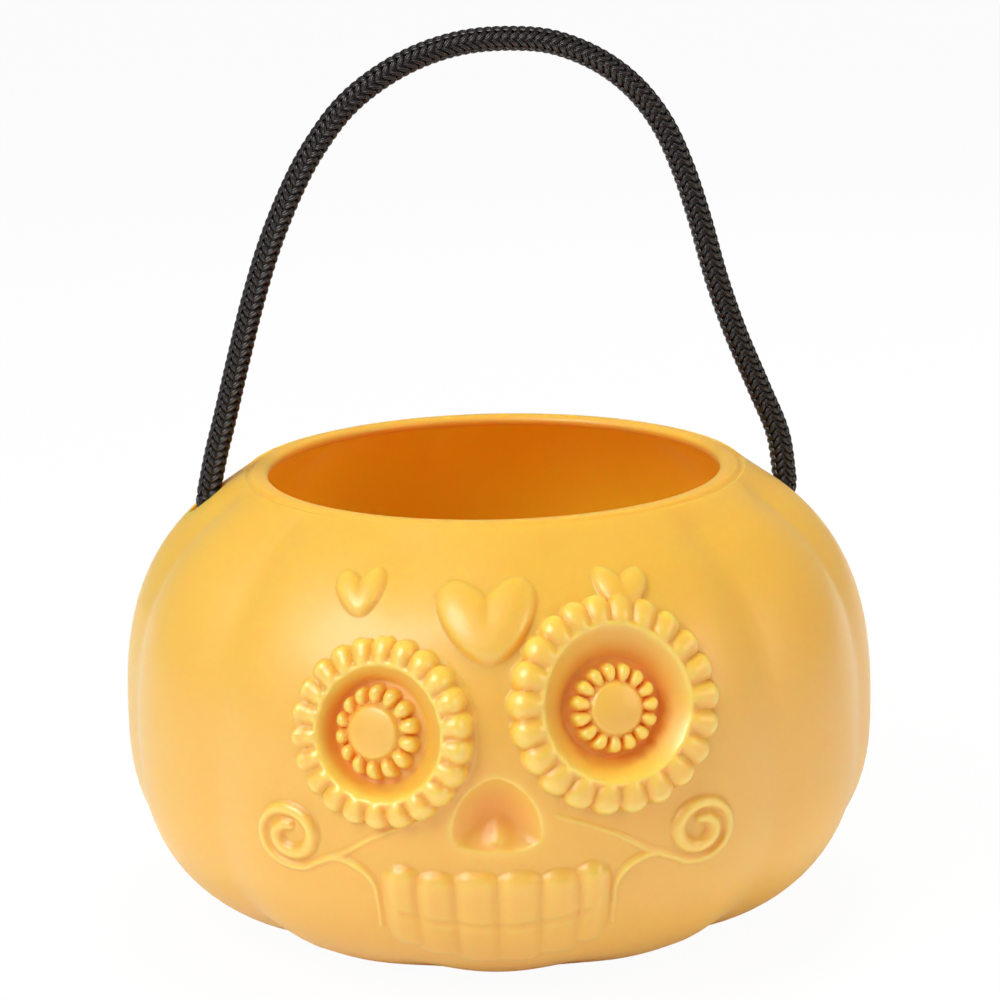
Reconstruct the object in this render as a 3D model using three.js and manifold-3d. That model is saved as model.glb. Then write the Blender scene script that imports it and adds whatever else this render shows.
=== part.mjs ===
// A trick-or-treat bucket: a squat moulded shell with pumpkin lobes and a sugar-skull face in relief,
// and a braided rope handle whose two ends pass through the shoulder and are knotted inside.
// Millimetres, +Z up. The origin is the middle of the flat base, and the face looks along -Y.
import * as THREE from "three";
import { mergeVertices } from "three/addons/utils/BufferGeometryUtils.js";
import Module from "manifold-3d";

const wasm = await Module();
wasm.setup();

// Shell: two superellipse arcs meet at the belly, and the upper one ends at a flat rim turned inwards
const BELLY_RADIUS = 97.4;
const BELLY_HEIGHT = 51.3;
const SHOULDER_RISE = 75.4;
const SHOULDER_POWER = 2.647;
const BASE_CUT = 6.2;
const FLANK_POWER = 2.5;
const RIM_OUTER = 63.6;
const RIM_WIDTH = 5.3;
const RIM_RISE = 0.7;
const RIM_GROOVE = 0.8;
const RIM_THICKNESS = 2.8;
const WALL = 1.6;
const LOBES = 12;
const LOBE_DEPTH = 2.2;
const BASE_FILLET = 12;
const FACE_HALF_ANGLE = 31;
const FACE_FADE_ANGLE = 12;

// Eyes: azimuth in degrees from the front, arc in mm up the shell from the belly line, the rest in mm.
// The flower in a socket stands a little aside, and faces forward
const EYE_LEFT = {
  azimuth: -16, arc: 23.1, lean: 0.14, beads: 22, turn: 0, opening: 16.5, outer: 22.8,
  floorRadius: 12.9, floorDepth: 4, petals: 14, petalRadius: 8.9, aside: -2, flowerLean: -0.17,
};
const EYE_RIGHT = {
  azimuth: 18, arc: 28.9, lean: -0.06, beads: 22, turn: 5, opening: 18.9, outer: 26,
  floorRadius: 12.8, floorDepth: 5, petals: 15, petalRadius: 8.9, aside: 1.2, flowerLean: 0.18,
};
const RIDGE_LIFT = 2.3;
const LEAN_FADE = 0.55;
const FLOWER_RISE = 3.6;

// Hearts, nose and teeth: the same coordinates, with turns in degrees anticlockwise
const HEARTS = [
  { azimuth: -0.4, arc: 49.6, width: 24.2, height: 22, turn: 3, lift: 2.6 },
  { azimuth: -21.9, arc: 56.1, width: 12.2, height: 13, turn: 16, lift: 2 },
  { azimuth: 21.9, arc: 55.3, width: 13.2, height: 13.2, turn: -11, lift: 2 },
];
const NOSE = { azimuth: 0.2, arc: 4.4, width: 20.4, height: 17.4, depth: 4 };
const SEPTUM = { width: 4, height: 9, lift: 2 };
const TEETH = {
  edges: [-15.9, -11.4, -5.9, 0.5, 6.8, 12.6, 16.2],
  top: [-7.3, -8.6, -8.4, -8.4, -8.6, -7.3],
  middle: -24.2,
  foot: [-33.5, -38, -42.5, -42.5, -38, -33.5],
};
const UPPER_LIFT = 2.2;
const LOWER_LIFT = 1.2;
const TOOTH_GAP = 0.3;

// Scrolls at the corners of the mouth, with two stems each
const SCROLL = { azimuth: 29.6, arc: -3.2, start: 8.6, end: 2.5, turns: 1.55, width: 2.8 };
const WELT_LIFT = 1.3;
const SCROLL_TAIL = [[25.5, -9.2], [21.4, -6.6], [17.2, -2.4], [12.8, 1], [8.6, 3.8]];
const SCROLL_STEM = [[22.6, -7.1], [18.8, -10.1], [17.1, -14.2], [16.9, -19.7], [17.2, -26.9]];

// Rope: 6 mm braid. Its route is given in the upright plane through the two holes:
// mm along from halfway between them, and mm above that halfway point
const ROPE_RADIUS = 3;
const HOLE_CLEARANCE = 0.9;
const HOLE_LEFT = { azimuth: -88.5, radius: 74, knotDrop: 24.5, knotInset: 0 };
const HOLE_RIGHT = { azimuth: 99, radius: 76.5, knotDrop: 27.5, knotInset: 1 };
const PIVOT_GAP = 0.3;
const ROPE_ROUTE = [
  [-73, 11.2], [-70.4, 20.4], [-66.2, 35.9], [-61.6, 51.9], [-56.4, 66.9], [-49.5, 81.9], [-44, 90.9],
  [-36.5, 100.1], [-27, 107.3], [-17, 112.2], [-6, 115.1], [5.5, 115.7], [16, 114.5], [27.5, 109.7],
  [36.5, 102.7], [43.5, 93.5], [48.6, 82.4], [53, 68.9], [57.4, 52.9], [62.4, 38.4], [68.6, 23.5],
  [73.5, 11.2],
];
// Half of the overhand knot: mm down the rope, and mm to its two sides. The other half is its half-turn
const KNOT_HALF = [
  [-19.5, -2, 1], [-15.3, -3.7, 1.7], [-10.6, -5.7, 2.6], [-5, -7.9, 3.5], [0.5, -10.1, 4.4],
  [5.3, -12, 5.2], [9.6, -13, 5.8], [12.3, -11.4, 5.4], [11.2, -8.1, 4.4], [8, -4.9, 3.2],
  [4.6, -1.8, 1.9], [1.5, 0.6, 0.6],
];
const TAIL_LENGTH = 9;

const TURN = Math.PI / 180;
const SKIN_COLUMNS = 60;
const INNER_COLUMNS = 42;
const orange = { color: 0xf0b452, roughness: 0.42, metalness: 0 };
const black = { color: 0x1a1818, roughness: 0.75, metalness: 0 };

// A closed geometry as a solid, and a solid as a geometry
function solidOf(geometry) {
  geometry.deleteAttribute("normal");
  geometry.deleteAttribute("uv");
  const merged = mergeVertices(geometry, 1e-4);
  return new wasm.Manifold(
    new wasm.Mesh({
      numProp: 3,
      vertProperties: merged.attributes.position.array,
      triVerts: new Uint32Array(merged.index.array),
    }),
  );
}

function geometryOf(solid) {
  const mesh = solid.getMesh();
  const geometry = new THREE.BufferGeometry();
  geometry.setAttribute("position", new THREE.BufferAttribute(mesh.vertProperties, 3));
  geometry.setIndex(new THREE.BufferAttribute(mesh.triVerts, 1));
  geometry.computeVertexNormals();
  return geometry;
}

// Half the shell's outline, from the belly line down to the base or up to the rim
class Flank extends THREE.Curve {
  getPoint(share, target = new THREE.Vector2()) {
    const drop = BELLY_HEIGHT + BASE_CUT;
    const angle = share * Math.asin((BELLY_HEIGHT / drop) ** (FLANK_POWER / 2));
    return target.set(
      BELLY_RADIUS * Math.cos(angle) ** (2 / FLANK_POWER),
      BELLY_HEIGHT - drop * Math.sin(angle) ** (2 / FLANK_POWER),
    );
  }
}

class Shoulder extends THREE.Curve {
  getPoint(share, target = new THREE.Vector2()) {
    const angle = share * Math.acos(((RIM_OUTER + RIM_GROOVE) / BELLY_RADIUS) ** (SHOULDER_POWER / 2));
    return target.set(
      BELLY_RADIUS * Math.cos(angle) ** (2 / SHOULDER_POWER),
      BELLY_HEIGHT + SHOULDER_RISE * Math.sin(angle) ** (2 / SHOULDER_POWER),
    );
  }
}

const flank = new Flank();
const shoulder = new Shoulder();
const flankLength = flank.getLength();
const shoulderLength = shoulder.getLength();
const shoulderTop = shoulder.getPoint(1);
const rimHeight = shoulderTop.y + RIM_RISE;

// The outline's point and its tangent at an arc length from the belly line
function outlineAt(arc) {
  const onFlank = arc < 0;
  const curve = onFlank ? flank : shoulder;
  const share = Math.min(Math.abs(arc) / (onFlank ? flankLength : shoulderLength), 1);
  const point = curve.getPointAt(share);
  const tangent = curve.getTangentAt(share).multiplyScalar(onFlank ? -1 : 1);
  return { radius: point.x, height: point.y, out: tangent.y, up: -tangent.x };
}

// How far the skin sinks towards the crease between two lobes: not at all in the middle of the face
function lobeLift(azimuth, arc) {
  const fromFront = Math.abs(THREE.MathUtils.euclideanModulo(azimuth + 180, 360) - 180);
  const offFace = THREE.MathUtils.smoothstep(fromFront, FACE_HALF_ANGLE, FACE_HALF_ANGLE + FACE_FADE_ANGLE);
  const nearBase = THREE.MathUtils.smoothstep(-arc, flankLength * 0.55, flankLength * 0.8);
  const nearRim = THREE.MathUtils.smoothstep(arc, shoulderLength * 0.75, shoulderLength * 0.93);
  const belowRim = THREE.MathUtils.smoothstep(shoulderLength - arc, 0.2, 4);
  const ridge = Math.sqrt(Math.cos((azimuth * LOBES * TURN) / 2) ** 2 + 0.02);
  const valley = THREE.MathUtils.clamp((1.01 - ridge) / 0.87, 0, 1);
  return -LOBE_DEPTH * valley * Math.max(offFace, 0.8 * nearBase, 0.7 * nearRim) * belowRim;
}

// A point on the lobed skin, lifted out along its normal
function skinPoint(azimuth, arc, lift) {
  const { radius, height, out, up } = outlineAt(arc);
  const lobe = lobeLift(azimuth, arc);
  const offBase = THREE.MathUtils.smoothstep(arc + flankLength, 0, BASE_FILLET);
  const across = radius + lift * out + lobe * THREE.MathUtils.lerp(1, out, offBase);
  const angle = azimuth * TURN;
  return new THREE.Vector3(
    across * Math.sin(angle),
    -across * Math.cos(angle),
    height + (lift + lobe * offBase) * up,
  );
}

// A point of the face: across and up along the skin from a place, and lifted off it. A place may lean,
// so that one side of its form stands higher, and the lean dies away towards the form's edge
function facePoint(place, across, up, lift) {
  const { lean: slope = 0, outer = BELLY_RADIUS } = place;
  const fade = THREE.MathUtils.smoothstep(Math.hypot(across, up), 0.8 * outer, outer);
  const lean = slope * across * (1 - LEAN_FADE * fade);
  const azimuth = place.azimuth + across / outlineAt(place.arc).radius / TURN;
  return skinPoint(azimuth, place.arc + up, lift + lean);
}

// Bends a flat geometry (x across, y up, z out) on to the skin at a place
function ontoFace(geometry, place) {
  const position = geometry.getAttribute("position");
  for (let i = 0; i < position.count; i++) {
    const point = facePoint(place, position.getX(i), position.getY(i), position.getZ(i));
    position.setXYZ(i, point.x, point.y, point.z);
  }
  return solidOf(geometry);
}

// A closed skin from rings of points, each ring a function of the azimuth, capped at both ends
function ringSolid(rings, columns) {
  const points = [];
  const faces = [];
  for (const ring of rings)
    for (let i = 0; i < columns; i++) points.push(ring((i * 360) / columns));
  for (let row = 0; row + 1 < rings.length; row++)
    for (let i = 0; i < columns; i++) {
      const a = row * columns + i;
      const b = row * columns + ((i + 1) % columns);
      faces.push(a, b, b + columns, a, b + columns, a + columns);
    }
  const centreOf = (from) => {
    const centre = new THREE.Vector3();
    for (let i = 0; i < columns; i++) centre.addScaledVector(points[from + i], 1 / columns);
    return centre;
  };
  const top = points.length - columns;
  points.push(centreOf(0), centreOf(top));
  for (let i = 0; i < columns; i++) {
    faces.push(points.length - 2, (i + 1) % columns, i);
    faces.push(points.length - 1, top + i, top + ((i + 1) % columns));
  }
  const geometry = new THREE.BufferGeometry().setFromPoints(points);
  geometry.setIndex(faces);
  return solidOf(geometry);
}

const flankShares = [1, 0.92, 0.79, 0.64, 0.48, 0.32, 0.16];
const shoulderShares = [0, 0.17, 0.34, 0.5, 0.64, 0.77, 0.89, 1];
const skinArcs = [
  ...flankShares.map((share) => -share * flankLength),
  ...shoulderShares.map((share) => share * shoulderLength),
];

// A level circle, for the rim and the mouth
const levelRing = (radius, height) => (azimuth) =>
  new THREE.Vector3(radius * Math.sin(azimuth * TURN), -radius * Math.cos(azimuth * TURN), height);

function outerSkin() {
  const rings = skinArcs.map((arc) => (azimuth) => skinPoint(azimuth, arc, 0));
  rings.push(
    levelRing(RIM_OUTER, shoulderTop.y - RIM_GROOVE),
    levelRing(RIM_OUTER - 0.3, rimHeight - 0.7),
    levelRing(RIM_OUTER - 1.2, rimHeight),
  );
  return ringSolid(rings, SKIN_COLUMNS);
}

// What the shell is hollowed by: its skin a wall further in, and straight up through the mouth
function hollow() {
  const mouth = RIM_OUTER - RIM_WIDTH;
  const below = [-0.91, -0.75, -0.57, -0.38, -0.19].map((share) => share * flankLength);
  const above = [0, 0.17, 0.34, 0.51, 0.68, 0.84, 1].map((share) => share * shoulderLength);
  return ringSolid(
    [
      levelRing(outlineAt(-flankLength).radius - WALL, WALL),
      ...[...below, ...above].map((arc) => (azimuth) => skinPoint(azimuth, arc, -WALL)),
      levelRing(mouth + 1.6, rimHeight - RIM_THICKNESS),
      levelRing(mouth, rimHeight - 0.7 * RIM_THICKNESS),
      levelRing(mouth, rimHeight - 0.8),
      levelRing(mouth + 2.3, rimHeight + 1),
    ],
    INNER_COLUMNS,
  );
}

// A turned form on the face. A profile entry is a radius and a lift, and what they gain on each lump round it
function turned(place, profile, segments, lumps = 0) {
  const outline = profile.map(([radius, lift]) => new THREE.Vector2(radius, lift));
  const lathe = new THREE.LatheGeometry(outline, segments);
  const position = lathe.getAttribute("position");
  for (let i = 0; i < position.count; i++) {
    const [radius, lift, wider = 0, higher = 0] = profile[i % profile.length];
    const angle = (2 * Math.PI * (Math.floor(i / profile.length) - 0.5)) / segments;
    const swell = (1 + Math.cos(angle * lumps)) / 1.5;
    const reach = radius + wider * swell;
    position.setXYZ(i, -reach * Math.sin(angle), reach * Math.cos(angle), lift + higher * swell);
  }
  return ontoFace(lathe.rotateZ((place.turn ?? 0) * TURN), place);
}

// An eye: a beaded ring that stands off the skin round a socket with a petalled flower in it
function eye(place) {
  const { beads, opening, outer, floorRadius, floorDepth, petals, petalRadius, aside, flowerLean } = place;
  const middle = opening + 0.3 * (outer - opening);
  const ring = [
    [opening - 3, -WALL], [outer - 1.9, -WALL, 1.3, 0], [outer - 2.7, 0.4, 1.2, 1],
    [middle + 0.4, RIDGE_LIFT - 0.6, 0, 1.2], [middle - 0.9, RIDGE_LIFT - 0.1, 0, 0.6],
    [opening - 0.6, RIDGE_LIFT - 0.2], [opening - 3, -WALL],
  ];
  const socket = [
    [0, -floorDepth], [floorRadius, -floorDepth], [opening, RIDGE_LIFT],
    [opening + 0.4, 3 * RIDGE_LIFT], [0, 3 * RIDGE_LIFT],
  ];
  const backing = [
    [0, -floorDepth - WALL], [floorRadius, -floorDepth - WALL], [opening + WALL, 0], [0, 0],
  ];
  const top = FLOWER_RISE - floorDepth;
  const flower = [
    [0, -floorDepth - WALL / 2], [petalRadius + 0.7, -floorDepth - WALL / 2, 1.3, 0],
    [petalRadius + 0.6, top - 1.9, 1.2, 0.6], [petalRadius - 0.6, top - 1.4, 0, 1.1],
    [petalRadius - 3, top + 0.2], [0, top + 1.2],
  ];
  const front = { ...place, azimuth: place.azimuth + aside / BELLY_RADIUS / TURN, lean: flowerLean };
  return {
    ring: turned(place, ring, 3 * beads, beads),
    socket: turned(place, socket, 33),
    backing: turned(place, backing, 24),
    flower: turned(front, flower, 3 * petals, petals),
  };
}

// A pillow over an outline: rings that shrink towards its middle as they rise
function pillow(outline, lift, sink) {
  const steps = [[1, -sink], [1, 0.1 * lift], [0.88, 0.7 * lift], [0.55, lift]];
  const points = [];
  const faces = [];
  const count = outline.length;
  for (const [share, height] of steps)
    for (const p of outline) points.push(new THREE.Vector3(p.x * share, p.y * share, height));
  points.push(new THREE.Vector3(0, 0, -sink), new THREE.Vector3(0, 0, lift));
  for (let i = 0; i < count; i++) {
    const next = (i + 1) % count;
    for (let row = 0; row + 1 < steps.length; row++) {
      const a = row * count + i;
      const b = row * count + next;
      faces.push(a, b, b + count, a, b + count, a + count);
    }
    const top = (steps.length - 1) * count;
    faces.push(points.length - 2, next, i, points.length - 1, top + i, top + next);
  }
  const geometry = new THREE.BufferGeometry().setFromPoints(points);
  geometry.setIndex(faces);
  return geometry;
}

// A heart's outline about its middle, point down: one side is a leaning ellipse, the other its mirror
function heartOutline(width, height, soften, count) {
  const lean = 38 * TURN;
  const outside = (x, y) => {
    const p = Math.hypot((x * 24.8) / width, soften) - 2.9;
    const q = (y * 21) / height - 0.6;
    const along = (p * Math.sin(lean) + q * Math.cos(lean)) / 12.6;
    const across = (p * Math.cos(lean) - q * Math.sin(lean)) / 6.9;
    return along ** 2 + across ** 2 > 1;
  };
  const points = [];
  for (let i = 0; i < count; i++) {
    const angle = ((i + 0.5) * 2 * Math.PI) / count + Math.PI / 2;
    let reach = 0;
    while (!outside(reach * Math.cos(angle), reach * Math.sin(angle))) reach += 0.02;
    points.push(new THREE.Vector2(reach * Math.cos(angle), reach * Math.sin(angle)));
  }
  return points;
}

function heart(place) {
  const geometry = pillow(heartOutline(place.width, place.height, 0.6, 19), place.lift, WALL / 2);
  return ontoFace(geometry.rotateZ(place.turn * TURN), place);
}

// The nose is an upside-down, softened heart sunk into the face, with a rib between its two nostrils
function nose() {
  const opening = heartOutline(NOSE.width, NOSE.height, 3, 18);
  const backing = heartOutline(NOSE.width + 2 * WALL, NOSE.height + 2 * WALL, 3, 18);
  const rib = new THREE.SphereGeometry(0.5, 8, 6).scale(SEPTUM.width, SEPTUM.height, 2 * SEPTUM.lift);
  return {
    cut: ontoFace(pillow(opening, NOSE.depth, WALL).rotateX(Math.PI), NOSE),
    backing: ontoFace(pillow(backing, NOSE.depth + WALL, 0).rotateX(Math.PI), NOSE),
    rib: ontoFace(rib.translate(0, -NOSE.height * 0.33, -NOSE.depth), NOSE),
  };
}

// One tooth: a pillow on a rectangle with rounded corners, given by its edges along the skin
function tooth(left, right, bottom, top, lift) {
  const width = (right - left) * TURN * outlineAt((top + bottom) / 2).radius - TOOTH_GAP;
  const height = top - bottom;
  const round = Math.min(width, height) * 0.32;
  const outline = [0, 1, 2, 3].flatMap((corner) => {
    const side = corner === 0 || corner === 3 ? 1 : -1;
    const end = corner < 2 ? 1 : -1;
    return [0.1, 0.5, 0.9].map((share) => {
      const angle = ((corner + share) * Math.PI) / 2;
      return new THREE.Vector2(
        side * (width / 2 - round) + round * Math.cos(angle),
        end * (height / 2 - round) + round * Math.sin(angle),
      );
    });
  });
  return ontoFace(pillow(outline, lift, WALL / 2), {
    azimuth: (left + right) / 2,
    arc: (top + bottom) / 2,
  });
}

function teeth() {
  const { edges, top, middle, foot } = TEETH;
  return top.flatMap((upperTop, i) => [
    tooth(edges[i], edges[i + 1], middle, upperTop, UPPER_LIFT),
    tooth(edges[i], edges[i + 1], foot[i], middle - TOOTH_GAP, LOWER_LIFT),
  ]);
}

// A low rounded welt laid along a flat path on the skin. A section's x points into the wall
function welt(path, width, steps) {
  const half = width / 2;
  const section = new THREE.Shape([
    new THREE.Vector2(WALL / 2, -half), new THREE.Vector2(WALL / 2, half),
    new THREE.Vector2(-WELT_LIFT, half * 0.45), new THREE.Vector2(-WELT_LIFT, -half * 0.45),
  ]);
  return new THREE.ExtrudeGeometry(section, { steps, bevelEnabled: false, extrudePath: path });
}

// One scroll and its two stems, on the left (-1) or the right (1) of the mouth
function scroll(side) {
  const place = { azimuth: side * SCROLL.azimuth, arc: SCROLL.arc };
  const radius = outlineAt(SCROLL.arc).radius;
  const flat = ([azimuth, arc]) =>
    new THREE.Vector3(side * (azimuth - SCROLL.azimuth) * TURN * radius, arc - SCROLL.arc, 0);
  const curl = [];
  const stops = 14;
  for (let i = stops; i >= 0; i--) {
    const share = i / stops;
    const reach = SCROLL.start + (SCROLL.end - SCROLL.start) * share ** 1.4;
    const angle = -Math.PI / 2 - 0.35 + 2 * Math.PI * SCROLL.turns * share;
    curl.push(new THREE.Vector3(side * reach * Math.cos(angle), reach * Math.sin(angle), 0));
  }
  const main = new THREE.CatmullRomCurve3([...curl, ...SCROLL_TAIL.map(flat)]);
  const stem = new THREE.CatmullRomCurve3(SCROLL_STEM.map(flat));
  return [
    ontoFace(welt(main, SCROLL.width, 33), place),
    ontoFace(welt(stem, SCROLL.width * 0.85, 9), place),
  ];
}

// Where the rope runs: the two holes, and the upright plane through them
function holePoint({ azimuth, radius }) {
  const angle = azimuth * TURN;
  let arc = 0;
  while (outlineAt(arc).radius > radius && arc < shoulderLength) arc += 0.05;
  return new THREE.Vector3(radius * Math.sin(angle), -radius * Math.cos(angle), outlineAt(arc).height);
}

const holeLeft = holePoint(HOLE_LEFT);
const holeRight = holePoint(HOLE_RIGHT);
const holeMiddle = holeLeft.clone().add(holeRight).multiplyScalar(0.5);
const alongHoles = holeRight.clone().sub(holeLeft).setZ(0).normalize();
const acrossHoles = new THREE.Vector3(0, 0, 1).cross(alongHoles);

const ropePoint = ([along, above]) =>
  holeMiddle.clone().addScaledVector(alongHoles, along).setZ(holeMiddle.z + above);

function tube(points, radius, sides, steps) {
  const section = new THREE.Shape().absarc(0, 0, radius, 0, 2 * Math.PI);
  const path = new THREE.CatmullRomCurve3(points);
  return new THREE.ExtrudeGeometry(section, {
    curveSegments: sides / 2, steps, bevelEnabled: false, extrudePath: path,
  });
}

// The free stretch, with a round end on each pivot
function ropeHandle() {
  const points = ROPE_ROUTE.map(ropePoint);
  const ends = [points[0], points[points.length - 1]].map((end) => {
    const ball = new THREE.SphereGeometry(ROPE_RADIUS, 8, 6).rotateX(Math.PI / 2);
    return solidOf(ball.translate(end.x, end.y, end.z));
  });
  return solidOf(tube(points, ROPE_RADIUS, 8, 40)).add(ends[0]).add(ends[1]);
}

// One end: up through the hole to just under the pivot, and knotted below the shoulder
function ropeEnd(hole, pivot, { knotDrop, knotInset }, inward) {
  const knot = [...KNOT_HALF, ...KNOT_HALF.map(([x, y, z]) => [-x, y, -z]).reverse()];
  const start = knot[0];
  const centre = hole.clone().setZ(hole.z - knotDrop);
  const at = ([down, beside, inwards]) =>
    centre
      .clone()
      .addScaledVector(acrossHoles, beside - start[1])
      .addScaledVector(alongHoles, inward * (knotInset + start[2] - inwards))
      .setZ(centre.z - down);
  const wound = knot.map(at);
  const tailTip = wound[wound.length - 1].clone();
  tailTip.z -= TAIL_LENGTH;
  const below = pivot.clone().sub(hole).normalize();
  const top = pivot.clone().addScaledVector(below, -ROPE_RADIUS - PIVOT_GAP);
  return solidOf(tube([top, hole, ...wound, tailTip], ROPE_RADIUS, 8, 50));
}

const pivotLeft = ropePoint(ROPE_ROUTE[0]);
const pivotRight = ropePoint(ROPE_ROUTE[ROPE_ROUTE.length - 1]);

// The punched hole in the shoulder, along the rope
function ropeHole(hole, pivot) {
  const along = pivot.clone().sub(hole).normalize();
  const size = ROPE_RADIUS + HOLE_CLEARANCE;
  const punch = new THREE.CylinderGeometry(size, size, 14, 16);
  punch.applyQuaternion(new THREE.Quaternion().setFromUnitVectors(new THREE.Vector3(0, 1, 0), along));
  return solidOf(punch.translate(hole.x, hole.y, hole.z));
}

function bucketShell() {
  const left = eye(EYE_LEFT);
  const right = eye(EYE_RIGHT);
  const { cut, backing, rib } = nose();
  const raised = [left.ring, right.ring, ...HEARTS.map(heart), ...teeth(), ...scroll(-1), ...scroll(1)];
  const inside = hollow().subtract(wasm.Manifold.union([left.backing, right.backing, backing]));
  return wasm.Manifold.union([outerSkin(), ...raised])
    .subtract(wasm.Manifold.union([left.socket, right.socket, cut]))
    .subtract(inside)
    .add(wasm.Manifold.union([left.flower, right.flower, rib.subtract(inside)]))
    .subtract(ropeHole(holeLeft, pivotLeft))
    .subtract(ropeHole(holeRight, pivotRight));
}

const bucket = new THREE.Group();
const pieces = [
  ["bucket_shell", bucketShell(), orange],
  ["rope_handle", ropeHandle(), black],
  ["rope_end_left", ropeEnd(holeLeft, pivotLeft, HOLE_LEFT, 1), black],
  ["rope_end_right", ropeEnd(holeRight, pivotRight, HOLE_RIGHT, -1), black],
];
for (const [name, solid, finish] of pieces) {
  const mesh = new THREE.Mesh(geometryOf(solid), new THREE.MeshStandardMaterial(finish));
  mesh.name = name;
  bucket.add(mesh);
}

export default bucket;
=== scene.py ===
import math

import bpy
import numpy as np
from mathutils import Matrix, Vector


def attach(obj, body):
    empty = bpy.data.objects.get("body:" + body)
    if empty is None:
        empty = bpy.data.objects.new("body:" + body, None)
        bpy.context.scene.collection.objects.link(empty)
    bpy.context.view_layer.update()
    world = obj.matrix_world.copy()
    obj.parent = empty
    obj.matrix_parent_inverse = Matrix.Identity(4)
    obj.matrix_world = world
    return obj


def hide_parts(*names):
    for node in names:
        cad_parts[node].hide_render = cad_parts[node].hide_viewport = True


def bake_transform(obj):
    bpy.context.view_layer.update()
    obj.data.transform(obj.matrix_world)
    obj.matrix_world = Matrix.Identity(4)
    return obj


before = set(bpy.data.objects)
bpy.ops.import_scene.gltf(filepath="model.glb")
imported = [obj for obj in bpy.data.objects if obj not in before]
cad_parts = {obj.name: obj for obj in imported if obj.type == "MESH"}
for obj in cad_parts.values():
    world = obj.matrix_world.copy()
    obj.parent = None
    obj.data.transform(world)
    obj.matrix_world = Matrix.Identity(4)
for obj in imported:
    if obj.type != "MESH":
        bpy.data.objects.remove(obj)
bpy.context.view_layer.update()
scene = bpy.context.scene
scene.view_settings.view_transform = "Standard"

# Camera: a long lens three quarters of a metre away, a little above the rim, and held with a slight tilt.
MM = 0.001
camera_distance = 750 * MM
camera_azimuth = math.radians(1)
camera_elevation = math.radians(13.72)
camera_tilt = math.radians(1.26)
camera_aim = Vector((1.4 * MM, 0, 106.8 * MM))
film_width = 36
focal_length = 104.2
out_to_camera = Vector((
    math.sin(camera_azimuth) * math.cos(camera_elevation),
    -math.cos(camera_azimuth) * math.cos(camera_elevation),
    math.sin(camera_elevation),
))
level = Vector((math.cos(camera_azimuth), math.sin(camera_azimuth), 0))
upward = out_to_camera.cross(level)
bpy.ops.object.camera_add()
camera = bpy.context.object
camera.name = "camera"
camera.data.sensor_width = film_width
camera.data.lens = focal_length
across = level * math.cos(camera_tilt) - upward * math.sin(camera_tilt)
above = level * math.sin(camera_tilt) + upward * math.cos(camera_tilt)
camera.matrix_world = Matrix.Translation(camera_aim + out_to_camera * camera_distance) @ Matrix(
    (across, above, out_to_camera)
).transposed().to_4x4()
scene.camera = camera

# Bucket shell: a thin moulded body of satin orange plastic, in one piece with a flat rim turned inwards.
# It has twelve pumpkin lobes and a sugar-skull face in relief, and two holes are punched for the rope.
# Its outline is in millimetres, as a distance from the axis and a height.
BELLY_RADIUS = 97.4
BELLY_HEIGHT = 51.3
SHOULDER_RISE, SHOULDER_POWER = 75.4, 2.647
FLANK_DROP, FLANK_POWER = 57.5, 2.5
RIM_OUTER = 63.6
RIM_INNER = 58.3
RIM_HEIGHT = 116.6
RIM_GROOVE = 0.35
SHOULDER_END = RIM_OUTER + 0.9
WALL = 1.6
BASE_FILLET = 12
LOBES = 12
LOBE_DEPTH = 2.2
LOBE_SHARE_AT_BASE, LOBE_SHARE_AT_RIM = 0.6, 0.7
FACE_SIDES = (31, 43)


def smoothstep(low, high, x):
    """0 below low, 1 above high and a soft step between them."""
    t = np.clip((np.asarray(x, float) - low) / (high - low), 0, 1)
    return t * t * (3 - 2 * t)


def along(points):
    """The distance of each point from the first, along the run."""
    steps = np.linalg.norm(np.diff(points, axis=0), axis=1)
    return np.concatenate(([0], np.cumsum(steps)))


def through(points, steps):
    """A smooth run of points through given ones."""
    p = np.array(points, float)
    p = np.concatenate([[2 * p[0] - p[1]], p, [2 * p[-1] - p[-2]]])
    knots = np.concatenate([[0], np.cumsum(np.linalg.norm(np.diff(p, axis=0), axis=1) ** 0.5)])
    out = []
    for i in range(1, len(p) - 2):
        t = np.linspace(knots[i], knots[i + 1], steps, endpoint=False)[:, None]
        k = knots[i - 1 : i + 3]
        a = [(k[j + 1] - t) / (k[j + 1] - k[j]) * p[i - 1 + j] + (t - k[j]) / (k[j + 1] - k[j]) * p[i + j]
             for j in range(3)]
        b = [(k[j + 2] - t) / (k[j + 2] - k[j]) * a[j] + (t - k[j]) / (k[j + 2] - k[j]) * a[j + 1]
             for j in range(2)]
        out.append((k[2] - t) / (k[2] - k[1]) * b[0] + (t - k[1]) / (k[2] - k[1]) * b[1])
    return np.concatenate([*out, p[-2:-1]])


turn = np.linspace(math.asin((BELLY_HEIGHT / FLANK_DROP) ** (FLANK_POWER / 2)), 0, 600)
flank = np.stack([
    BELLY_RADIUS * np.cos(turn) ** (2 / FLANK_POWER),
    BELLY_HEIGHT - FLANK_DROP * np.sin(turn) ** (2 / FLANK_POWER),
], 1)
turn = np.linspace(0, math.acos((SHOULDER_END / BELLY_RADIUS) ** (SHOULDER_POWER / 2)), 600)
shoulder = np.stack([
    BELLY_RADIUS * np.cos(turn) ** (2 / SHOULDER_POWER),
    BELLY_HEIGHT + SHOULDER_RISE * np.sin(turn) ** (2 / SHOULDER_POWER),
], 1)
flank_length = along(flank)[-1]
skin_top = along(shoulder)[-1]
outline = np.concatenate([flank, shoulder[1:]])
outline_arc = along(outline) - flank_length
tangent = np.gradient(outline, outline_arc, axis=0)
tangent /= np.hypot(*tangent.T)[:, None]
outward = np.stack([tangent[:, 1], -tangent[:, 0]], 1)


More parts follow.
